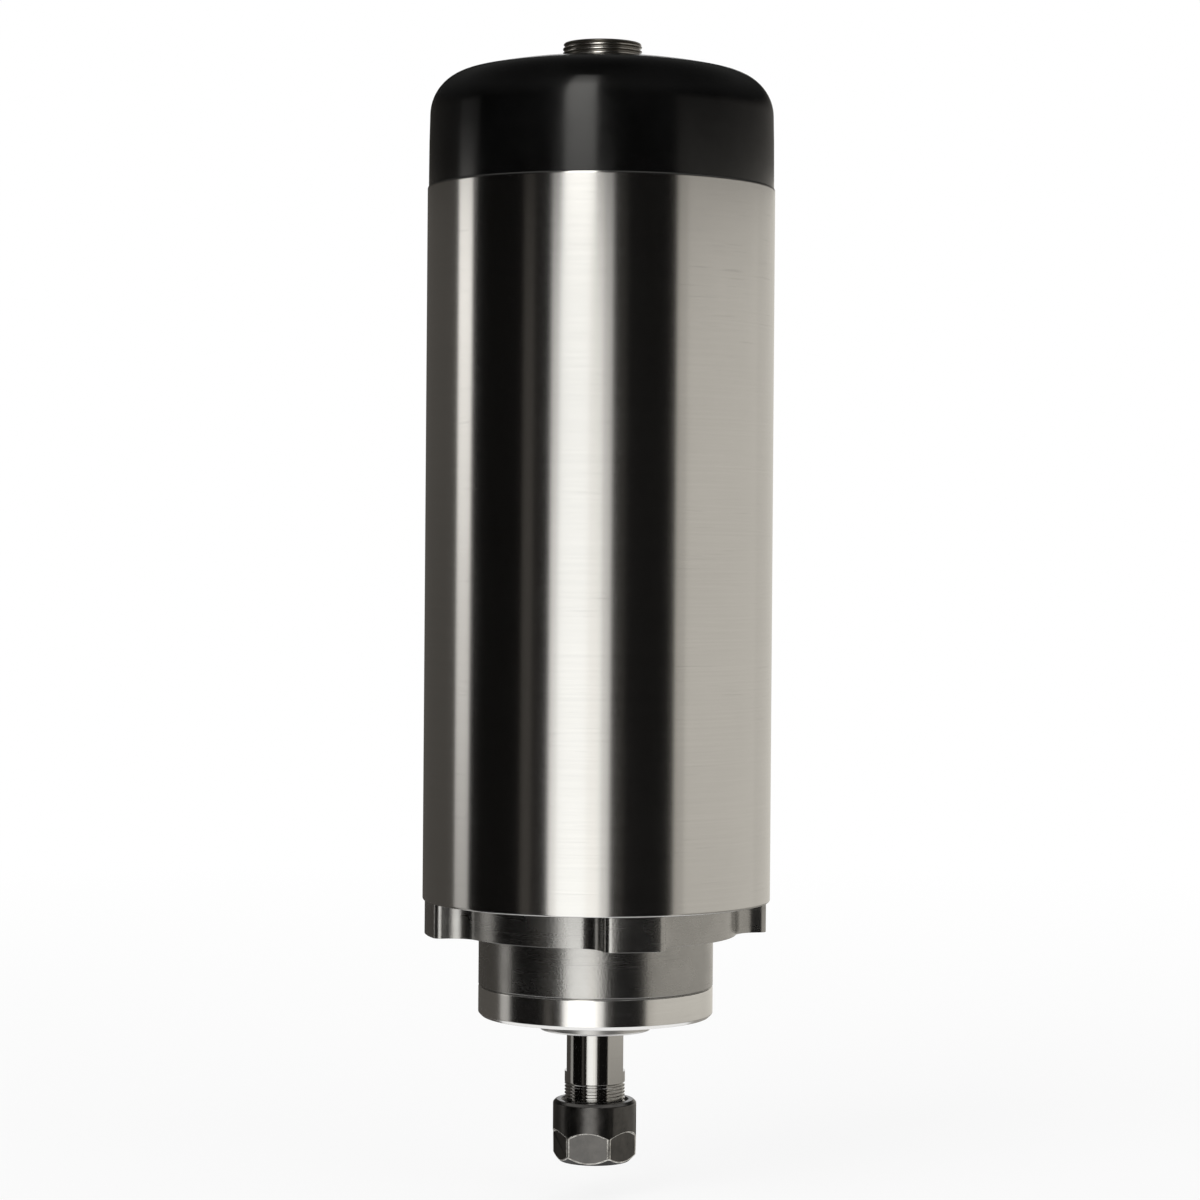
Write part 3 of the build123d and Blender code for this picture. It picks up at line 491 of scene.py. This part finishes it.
nose_radius, nose_foot = 27.0, -19.65
flange_foot, register_foot, register_top = -7.7, -0.02, 8.0
bearing_seat, seat_top, core_bore, tie_circle = 17.52, 2.35, 14.5, 34.5
lobes = lobed_outline(39.5, fillet=5.904, corner=1.8)
flange = prism("front_housing_flange", lobes, flange_foot, register_foot)
small_lobes = lobed_outline(38.45, fillet=5.043, corner=1.5375)
register = prism("register", small_lobes, register_foot, register_top)
nose = lathe("nose", [
    (15.0, -7.0), (nose_radius, -7.0), (nose_radius, -19.4), (26.75, nose_foot), (15.0, nose_foot)])
cut(flange, [register, nose], "UNION")
cut(flange, [drill(0, 0, bearing_seat, -25, seat_top, 96), drill(0, 0, core_bore, 2.0, 9, 96)])
screw_seats(flange, tie_circle, 45, head=(3.8, -8.5, -3.2), shank=(2.2, -3.3, 9))
ease(flange, 0.25)
# Turned and milled aluminium alloy: the same clear grey, a little duller, with cloudy handling marks.
turned_housing = turned_metal("turned_aluminium_alloy", "ABAAA8", roughness=0.27, direction=0.35, groove=0.5,
                              marks=0.1, waves=0.12, specks=1.0)
finish_piece(flange, "motor_body", "turned_housing", ["front_housing"], turned_housing)


# Front bearing cap: a turned ring that closes the nose and clamps the bearings, held by four screws.
# The fine seam above it is the gap between the two chamfered rims.

cap_foot, cap_bore, screw_circle = -26.65, 11.3, 22.25
spigot_radius, spigot_bore, spigot_top = 17.45, 14.5, -17.65
cap = lathe("front_bearing_cap_ring", [
    (cap_bore, cap_foot), (26.2, cap_foot), (nose_radius, -25.85), (nose_radius, -19.9), (26.75, nose_foot),
    (spigot_radius, nose_foot), (spigot_radius, spigot_top), (spigot_bore, spigot_top),
    (spigot_bore, nose_foot), (cap_bore, nose_foot)])
screw_seats(cap, screw_circle, 0, head=(3.05, -27.5, -23.35), shank=(1.7, -23.5, -19))
ease(cap, 0.15)
# Turned aluminium alloy straight from the lathe: paler than the housing, with finer rings.
turned_ring = turned_metal("freshly_turned_aluminium", "E6E5E3", roughness=0.20, direction=0.5, groove=0.35,
                           marks=0.06, waves=0.03)
finish_piece(cap, "motor_body", "turned_housing", ["front_bearing_cap"], turned_ring)


# Slinger nut: a disc on the shaft that clamps the inner rings and covers the gap in the cap.
# Turned steel, with two spanner holes in its lower face.

slinger_bore, slinger_foot, slinger_back, hub_radius, spanner_circle = 7.52, -29.85, -26.95, 10.9, 10.25
slinger = lathe("slinger_nut_disc", [
    (slinger_bore, slinger_foot), (12.6, slinger_foot), (13.0, -29.45), (13.0, -27.25), (12.7, slinger_back),
    (hub_radius, slinger_back), (hub_radius, spigot_top), (slinger_bore, spigot_top)])
cut(slinger, [drill(spanner_circle, 0, 1.25, -31, -27.85), drill(-spanner_circle, 0, 1.25, -31, -27.85)])
ease(slinger, 0.12)
# Plain turned steel: pale and dull, so that its rim melts into the cap's lower face.
dull_turned = turned_metal("plain_turned_steel", "CFCECC", roughness=0.42, direction=0.2, groove=0.25,
                           marks=0.06, waves=0.04)
finish_piece(slinger, "rotor", "ground_steel", ["slinger_nut"], dull_turned)


# Shaft: ground steel, turned in one piece, with two wrench flats and the thread of the collet nut.
# The thread is a ridge of 0.75 mm pitch wound round its root, and it runs out under the flats.

def ridge(name, root, crest, low, turns, pitch, start=0.0):
    """One thread ridge: a small section wound up from a start in degrees, closed and thinned at both ends."""
    piece = start_point(name, (root * mm, 0, low * mm))
    # the section, in shares of the pitch: out along a flank, up the crest, in along the other, and down
    depth = crest - root
    for out, up in ((depth, 0.33), (0, 0.2), (-depth, 0.33), (0, -0.86)):
        pull((out * mm, 0, up * pitch * mm))
    weld(1e-7)
    # with no window, the turn runs the other way
    bpy.ops.transform.rotate(value=-math.radians(start), orient_axis="Z", center_override=(0, 0, 0))
    bpy.ops.object.mode_set(mode="OBJECT")
    winding = piece.modifiers.new("winding", "SCREW")
    winding.angle = math.tau
    winding.screw_offset = pitch * mm
    winding.iterations = turns
    winding.steps = winding.render_steps = 64
    bpy.ops.object.modifier_apply(modifier="winding")
    # at each end the ridge grows from its root to its full depth within a turn
    lowest, highest = low * mm, (low + (turns + 0.9) * pitch) * mm
    for vertex in piece.data.vertices:
        x, y, z = vertex.co
        out = math.hypot(x, y)
        run = min(z - lowest, highest - z) / (pitch * mm)
        share = min(1.0, max(0.0, run * 2.2 - 0.6))
        if out > root * mm + 1e-6:
            wanted = root * mm + (out - root * mm) * share
            vertex.co = (x * wanted / out, y * wanted / out, z)
    pick(piece)
    bpy.ops.object.mode_set(mode="EDIT")
    bpy.ops.mesh.select_all(action="DESELECT")
    bpy.ops.mesh.select_non_manifold()
    bpy.ops.mesh.edge_face_add()
    face_outwards()
    bpy.ops.object.shade_smooth_by_angle(angle=math.radians(25))
    return piece


# from the nut's end up the outside to the fan's end, then down the axis, the bore and the taper
shaft = lathe("shaft_spindle", [
    (5.17, -54.3), (6.04, -54.3), (6.5, -53.8), (6.5, -42.2), (6.95, -41.9), (6.95, slinger_foot),
    (7.5, slinger_foot), (7.5, spigot_top), (8.5, spigot_top), (8.5, seat_top), (10.5, seat_top),
    (10.5, 30.0), (10.0, 30.0), (10.0, 108.0), (9.0, 108.0), (9.0, 137.0), (7.5, 137.0), (7.5, 152.5),
    (5.5, 152.5), (5.5, 165.5), (4.0, 165.5), (4.0, 171.8), (0.0, 171.8), (0.0, -16.4), (3.75, -16.4),
    (3.75, -41.4), (3.43, -41.4)], steps=128)
flats_angle, flats_low, flats_high = 31.9, -39.4, -30.5
beyond_flat = [(6.5, -8), (14, -8), (14, 8), (6.5, 8)]
for angle in (flats_angle, flats_angle + 180):
    cut(shaft, [prism("cutter", turned(beyond_flat, angle), flats_low, flats_high)])
# the keyway of the fan
cut(shaft, [prism("cutter", [(3.98, -1.52), (7.02, -1.52), (7.02, 1.52), (3.98, 1.52)], 154.48, 163.52)])
ease(shaft, 0.12)
# Ground steel: bright, fine-lined and sharper in its reflections than the turned pieces.
ground_steel = turned_metal("ground_steel", "BEBDBB", roughness=0.12, direction=0.5, groove=0.25, marks=0.06,
                            waves=0.03)
finish_piece(shaft, "rotor", "ground_steel", ["shaft"], ground_steel)
thread = ridge("shaft_thread", root=6.46, crest=6.95, low=-53.6, turns=15, pitch=0.75)
finish_piece(thread, "rotor", "ground_steel", [], ground_steel)


# Collet nut: turned steel with six milled flats under a round collar, blackened in a hot bath.
# The black has rubbed off along the edges, and the bare steel shines there.

nut_radius, nut_foot, nut_top = 9.6, -60.15, -46.0
nut = lathe("collet_nut_body", [
    (4.22, nut_foot), (8.0, nut_foot), (nut_radius, -58.55), (nut_radius, -46.7), (8.9, nut_top),
    (7.7, nut_top), (7.05, -46.8), (7.05, -55.45), (5.25, -55.45), (5.25, -57.35), (5.8, -57.35),
    (5.8, -57.4)], steps=144)
# a round mill leaves each flat its arched upper end
first_flat, half_across_flats = -7.7, 8.45
mill_radius, mill_length, mill_height = 8.4, 9.6, -61.15
for side in range(6):
    deselect()
    bpy.ops.mesh.primitive_cylinder_add(vertices=160, radius=mill_radius * mm, depth=mill_length * mm,
                                        location=(0, 0, 0), rotation=(0, math.radians(90), 0))
    mill = bpy.context.object
    bpy.ops.object.transform_apply(rotation=True)
    bpy.ops.object.mode_set(mode="EDIT")
    reach = half_across_flats + mill_length / 2
    bpy.ops.transform.translate(value=(reach * mm, 0, mill_height * mm))
    bpy.ops.transform.rotate(value=-math.radians(first_flat + 60 * side), orient_axis="Z",
                             center_override=(0, 0, 0))
    bpy.ops.object.mode_set(mode="OBJECT")
    cut(nut, [mill])


def grained(name, dark, light, size, rough, relief, metallic=0.0):
    """A cloudy two-tone material with a fine grain; size is the clouds', in millimetres, rough a pair."""
    material, tree = empty_material(name)
    place = add_node(tree, "TexCoord").outputs["Object"]
    cloud = add_node(tree, "TexNoise", {
        "Vector": place, "Scale": 1 / (size * mm), "Detail": 4.0, "Roughness": 0.65})
    grain = add_node(tree, "TexNoise", {"Vector": place, "Scale": 12 / (size * mm), "Detail": 2.0})
    share = add_node(tree, "MapRange", {"Value": cloud.outputs[0], "From Min": 0.3, "From Max": 0.7})
    # inputs 6 and 7 and output 2 are the colours of a Mix node
    colour = add_node(tree, "Mix", {"Factor": share.outputs[0], 6: from_hex(dark), 7: from_hex(light)},
                      data_type="RGBA")
    dull = add_node(tree, "MapRange", {"Value": share.outputs[0], "To Min": rough[0], "To Max": rough[1]})
    bump = add_node(tree, "Bump", {"Height": grain.outputs[0], "Strength": relief, "Distance": 0.02 * mm})
    face = add_node(tree, "BsdfPrincipled", {
        "Base Color": colour.outputs[2], "Metallic": metallic, "Roughness": dull.outputs[0],
        "Normal": bump.outputs[0]})
    add_node(tree, "OutputMaterial", {"Surface": face.outputs[0]})
    return material


# Black oxide on steel: near black with a soft metal gleam, a little cloudy from the bath.
black_oxide = grained("black_oxide_steel", "525150", "666462", size=2.9, rough=(0.27, 0.33), relief=0.15,
                      metallic=1.0)
# Bare steel of the rubbed edges: patchy, light where a spanner has touched it.
worn_edge = grained("worn_bare_steel", "A5A29D", "FFFDF8", size=1.6, rough=(0.68, 0.56), relief=0.1,
                    metallic=1.0)
# Painted shade: the same black oxide made darker, put on the downward-facing faces of the lower chamfer.
painted_shade_oxide = grained("black_oxide_painted_shade", "2B2A29", "3A3938", size=2.9, rough=(0.4, 0.48), relief=0.15,
                     metallic=1.0)
for material in (black_oxide, worn_edge, painted_shade_oxide):
    nut.data.materials.append(material)
pick(nut)
bpy.ops.object.mode_set(mode="EDIT")
# sorted by distance from a place off every axis, the same close points are joined in each run
bpy.context.scene.cursor.location = (0.21, 0.07, 0.33)
bpy.ops.mesh.select_all(action="SELECT")
bpy.ops.mesh.sort_elements(type="CURSOR_DISTANCE", elements={"VERT", "EDGE", "FACE"})
weld(0.12 * mm)
bpy.ops.object.mode_set(mode="OBJECT")
ease(nut, 0.2, angle=24, edge_material=1, clamp=False)
collar_rim, lower_rim, chamfer_top, mouth_radius = -47.5 * mm, -59.9 * mm, -58.0 * mm, 7.6 * mm
for face in nut.data.polygons:
    # the rims of the collar, of the lower chamfer and of the mouth have kept their black
    if face.center.z > collar_rim or face.center.z < lower_rim or face.center.xy.length < mouth_radius:
        face.material_index = 0
    # the downward-facing faces of the lower chamfer take the painted shade
    if face.material_index == 0 and face.center.z < chamfer_top and -0.9 < face.normal.z < -0.3:
        face.material_index = 2
finish_piece(nut, "collet_nut", "black_oxide", ["collet_nut"])


# Fan cover: black moulded cover over the fan, with a domed crown and a rounded shoulder.
# Its spigot snaps into the sleeve, and slots round the crown let the cooling air in.

def crown_points(radius, first, count):
    """Points of an arc over the crown, from some degrees off the axis to just before the shoulder."""
    last = 90 - join
    angles = [math.radians(first + step * (last - first) / count) for step in range(count)]
    return [(radius * math.sin(a), crown_centre + radius * math.cos(a)) for a in angles]


crown_top, crown_radius, shoulder_radius = 193.5, 140.0, 10.0
cover_radius, draft, inner_radius, spigot_foot, spigot_side = 39.75, 0.2, 36.95, 159.5, 38.45
crown_centre = crown_top - crown_radius
across = cover_radius - draft - shoulder_radius
to_shoulder = crown_radius - shoulder_radius
shoulder = crown_centre + math.sqrt(to_shoulder ** 2 - across ** 2)
join = math.degrees(math.acos(across / to_shoulder))
inner_corner = inner_radius - across
crown_arc = crown_points(crown_radius, 3.73, 14)
under_arc = crown_points(to_shoulder + inner_corner, 5.3, 10)
hole_radius, boss_radius, boss_foot = 9.12, 12.6, 186.0
cover = lathe("fan_cover_shell", [
    (hole_radius, boss_foot), (hole_radius, crown_arc[0][1]), *crown_arc,
    *arc((across, shoulder), shoulder_radius, join, 0, 14), (39.68, 174.0), (cover_radius, body_top),
    (spigot_side, body_top), (spigot_side, spigot_foot), (inner_radius, spigot_foot),
    (inner_radius, shoulder),
    *arc((across, shoulder), inner_corner, 0, join, 8)[1:-1], *reversed(under_arc),
    (boss_radius, under_arc[0][1]), (boss_radius, boss_foot)], steps=168)
slot_count, slot_half_width = 14, 1.3
slot = arc((15.2, 0), slot_half_width, 90, 270, 8) + arc((18.6, 0), slot_half_width, -90, 90, 8)
for number in range(slot_count):
    cut(cover, [prism("cutter", turned(slot, 360 * (number + 0.5) / slot_count), 184, 197)])
ease(cover, 0.2, angle=35)
# Black ABS, moulded in a polished tool: deep satin gloss with the faintest orange peel and wiping marks.
black_abs = grained("black_moulded_abs", "040404", "0B0B0B", size=18, rough=(0.13, 0.19), relief=0.05)
finish_piece(cover, "motor_body", "black_cover", ["fan_cover"], black_abs)


# Power connector: a dark plated shell with a fine thread for the plug's union nut.
# It passes through the middle of the crown and is held from inside by its lock nut.

shell_bore, shell_foot, shell_top, thread_root = 7.6, 181.2, 197.0, 8.5
shell = lathe("connector_shell_body", [
    (shell_bore, shell_foot), (9.1, shell_foot), (9.1, 187.0), (8.9, 187.0), (8.9, 193.4),
    (thread_root, 193.5), (thread_root, 196.3), (8.95, 196.65), (8.95, 196.8), (8.75, shell_top),
    (shell_bore, shell_top)], steps=112)
ease(shell, 0.08)
# Dark nickel plate: brown-black metal; on the thread the flanks keep it, darker than the crests' painted
# highlight.
dark_plate = turned_metal("dark_nickel_plate", "A29E98", roughness=0.34, direction=0.3, groove=0.3,
                          marks=0.14, waves=0.14)
finish_piece(shell, "motor_body", "dark_connector", ["connector_shell"], dark_plate)
shell_thread = ridge("connector_shell_thread", root=8.45, crest=9.1, low=192.1, turns=4, pitch=1.0,
                     start=157.9)
# Painted highlight: the outward-facing crests of the thread, much lighter than the dark plate, for the bright
# lines that reflections draw along them.
crest_highlight_plate = turned_metal("nickel_plate_painted_highlight", "F6F3EE", roughness=0.24, direction=0.3, groove=0.3,
                            marks=0.3, waves=0.12)
finish_piece(shell_thread, "motor_body", "dark_connector", [], dark_plate, crest_highlight_plate)
crest_radius = 8.9 * mm
# outward-facing crest faces take the painted highlight; the flanks keep the dark plate
for face in shell_thread.data.polygons:
    face.material_index = int(abs(face.normal.z) < 0.3 and face.center.xy.length > crest_radius)


# Inner castings: the finned core housing, the rear housing and its bearing cover, cast and bored.
# They show only through the air pockets, dull and grainy.

def dress(material, *nodes):
    """Give CAD nodes that stay as they are a material in all their slots."""
    for node in nodes:
        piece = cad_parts[node]
        if not piece.material_slots:
            piece.data.materials.append(material)
        for place in piece.material_slots:
            place.material = material


# Cast aluminium: mid grey, granular and dull.
cast_aluminium = grained("cast_aluminium", "8E8D8A", "ABA9A5", size=6, rough=(0.5, 0.62), relief=0.6,
                         metallic=1.0)
dress(cast_aluminium, "core_housing", "rear_housing", "rear_bearing_cover")


# Fixings: socket screws and tie rods in black oxide, their heads sunk in the cap and the lobes.
# Those are copies of the solids with broken edges; the hidden fixings keep their plain shape.

def dressed_copy(node, body, slot, material, width, segments=2):
    """Show a copy of a CAD node in its place, with its facets merged and its edges broken."""
    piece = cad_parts[node].copy()
    piece.data = piece.data.copy()
    piece.name = piece.data.name = node + "_dressed"
    piece.parent = None
    for key in list(piece.keys()):
        if key.startswith("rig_"):
            del piece[key]
    bpy.context.scene.collection.objects.link(piece)
    piece.data.materials.clear()
    pick(piece)
    bpy.ops.mesh.customdata_custom_splitnormals_clear()
    bpy.ops.object.mode_set(mode="EDIT")
    weld()
    bpy.ops.mesh.dissolve_limited(angle_limit=math.radians(1))
    face_outwards()
    ease(piece, width, segments=segments)
    finish_piece(piece, body, slot, [node], material)


dressed_copy("bearing_cap_screws", "motor_body", "black_oxide", black_oxide, 0.12)
dressed_copy("tie_rods", "motor_body", "black_oxide", black_oxide, 0.12)
# Zinc plate: pale, slightly blue and cloudy.
zinc = grained("zinc_plated_steel", "A9ACAF", "C2C5C8", size=4, rough=(0.26, 0.36), relief=0.1, metallic=1.0)
dress(zinc, "rear_cover_screws", "fan_washer", "fan_nut", "connector_washer", "connector_locknut")


# Collet: hardened and ground spring steel, slit by turns from both ends, in the taper of the shaft.
# Its face and bore show from below, inside the nut. The preload spring and the key share its steel.

# Ground spring steel: bright, with fine rings.
spring_steel = turned_metal("ground_spring_steel", "BDBBB6", roughness=0.24, direction=0.3, groove=0.2,
                            marks=0.06, waves=0.02)
dressed_copy("collet", "collet", "ground_steel", spring_steel, 0.08, segments=1)
dress(spring_steel, "preload_spring", "fan_key")


# Ball bearings: two angular contact bearings at the front and one at the rear.
# Their rings and balls are hardened steel, and the cages are moulded polyamide.

# Lapped bearing steel: the brightest of the ringed metals here, with hardly a line.
bearing_steel = turned_metal("lapped_bearing_steel", "D4D3D1", roughness=0.12, direction=0.3, groove=0.15,
                             marks=0.02, waves=0.01)
# Polished balls: smooth as a mirror.
polished_steel = grained("polished_ball_steel", "CFCFCE", "D8D8D7", size=3, rough=(0.06, 0.09), relief=0.02,
                         metallic=1.0)
# Cage polyamide: warm cream, slightly waxy.
cage_polyamide = grained("cage_polyamide", "A8946A", "BBA77C", size=3, rough=(0.42, 0.5), relief=0.2)
for bearing in ("front_lower", "front_upper", "rear"):
    dress(bearing_steel, bearing + "_outer_ring", bearing + "_inner_ring")
    dress(polished_steel, bearing + "_balls")
    dress(cage_polyamide, bearing + "_cage")


# Stator and rotor: stacks of thin steel sheets, copper coils in the slots, and a cast cage.
# The coil ends are taped, tied and varnished.

# Stacked sheets: dark steel with fine lines between the sheets.
sheets = turned_metal("stacked_electrical_steel", "8A8B8D", roughness=0.42, direction=0.1, groove=0.5,
                      marks=0.2, waves=0.06)
dress(sheets, "stator_core", "rotor_core")
# Enamelled copper: red-brown and glossy.
copper = grained("enamelled_copper", "9A4E28", "BC6A3C", size=2, rough=(0.24, 0.32), relief=0.4, metallic=1.0)
dress(copper, "slot_coils")
# Varnished tape: amber cloth, uneven.
tape = grained("varnished_tape", "B79C62", "D2BB86", size=2, rough=(0.4, 0.6), relief=0.8)
dress(tape, "winding_head_front", "winding_head_rear")
# Die-cast aluminium: pale grey, smoother than the castings of the housings.
die_cast = grained("die_cast_aluminium", "A2A19E", "B9B8B4", size=4, rough=(0.4, 0.5), relief=0.4,
                   metallic=1.0)
dress(die_cast, "rotor_cage")


# Fan: moulded in black polyamide with twisted blades, on the rear end of the shaft.
# A key turns it with the shaft, and a nut over a washer holds it down.

# Black polyamide: matt, with a faint grain from the glass fibre.
polyamide = grained("black_polyamide", "141414", "1E1E1F", size=5, rough=(0.45, 0.6), relief=0.3)
dress(polyamide, "fan")


# Connector inside: the insert, its contact pins, the rubber boot, and the lead with its grommet.
# The insert and the pins show from above, down in the shell.

# Insulating plastic: black and smooth.
insulator = grained("insulating_plastic", "101010", "191919", size=4, rough=(0.3, 0.4), relief=0.1)
dressed_copy("connector_insert", "motor_body", "insulation", insulator, 0.15)
# Plated brass: warm and bright.
pin_brass = grained("plated_brass", "C9A45A", "DDBB74", size=1.5, rough=(0.2, 0.28), relief=0.1, metallic=1.0)
dressed_copy("connector_pins", "motor_body", "contact_brass", pin_brass, 0.12)
# Black rubber: very matt.
rubber = grained("black_rubber", "151515", "202020", size=5, rough=(0.6, 0.75), relief=0.3)
dress(rubber, "connector_boot", "lead_grommet")
# Braided sleeve: dark, with a rough surface.
braid = grained("braided_sleeve", "121213", "2A2A2B", size=0.8, rough=(0.55, 0.7), relief=1.0)
dress(braid, "lead_harness")
